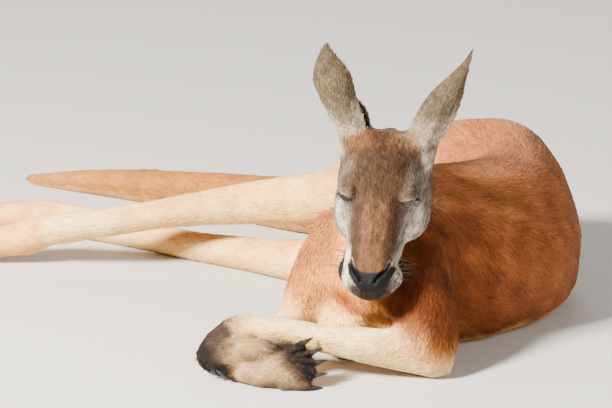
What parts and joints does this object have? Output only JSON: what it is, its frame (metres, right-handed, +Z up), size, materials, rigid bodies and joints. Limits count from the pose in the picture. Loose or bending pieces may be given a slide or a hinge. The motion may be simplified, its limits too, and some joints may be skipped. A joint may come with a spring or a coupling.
{
  "type": "red kangaroo model",
  "caption": "Life-size still model of a resting red kangaroo lying on its side and belly, forelegs crossed in front, head up and nodding, long tail laid behind.",
  "frame": {"origin": "middle of the bottom of the bounding box, on the floor that the animal lies on", "axes": "+Z up from the floor; the head and hands are towards -Y, the hind feet and tail tip towards -X, the back towards +X"},
  "size_m": [1.1548, 1.1074, 0.4414],
  "materials": {
    "coat_rufous": "short dense fur",
    "coat_tan": "short dense fur",
    "coat_cream": "short flat fur",
    "coat_grey": "very short fur",
    "ear": "very short fur",
    "nose": "bare grained skin",
    "eye": "wet",
    "claw": "worn satin horn"
  },
  "bodies": {
    "root": {"chest": "coat_rufous", "claw_foot_left_2": "claw", "claw_foot_left_3": "claw", "claw_foot_left_4": "claw", "claw_foot_left_5": "claw", "claw_foot_right_2": "claw", "claw_foot_right_3": "claw", "claw_foot_right_4": "claw", "claw_foot_right_5": "claw", "claw_hand_left_1": "claw", "claw_hand_left_2": "claw", "claw_hand_left_3": "claw", "claw_hand_left_4": "claw", "claw_hand_left_5": "claw", "claw_hand_right_1": "claw", "claw_hand_right_2": "claw", "claw_hand_right_3": "claw", "claw_hand_right_4": "claw", "claw_hand_right_5": "claw", "ear_left": "ear", "ear_right": "ear", "eye_left": "eye", "eye_right": "eye", "foot_left": "coat_cream", "foot_right": "coat_cream", "forearm_left": "coat_cream", "forearm_right": "coat_cream", "hand_left": "coat_cream", "hand_right": "coat_cream", "head": "coat_grey", "hips": "coat_rufous", "lower_jaw": "coat_grey", "neck": "coat_rufous", "nose_pad": "nose", "shank_left": "coat_cream", "shank_right": "coat_cream", "tail_base": "coat_tan", "tail_middle": "coat_cream", "tail_tip": "coat_cream", "thigh_left": "coat_tan", "thigh_right": "coat_tan", "upper_arm_left": "coat_tan", "upper_arm_right": "coat_tan", "waist": "coat_rufous"}
  },
  "joints": []
}
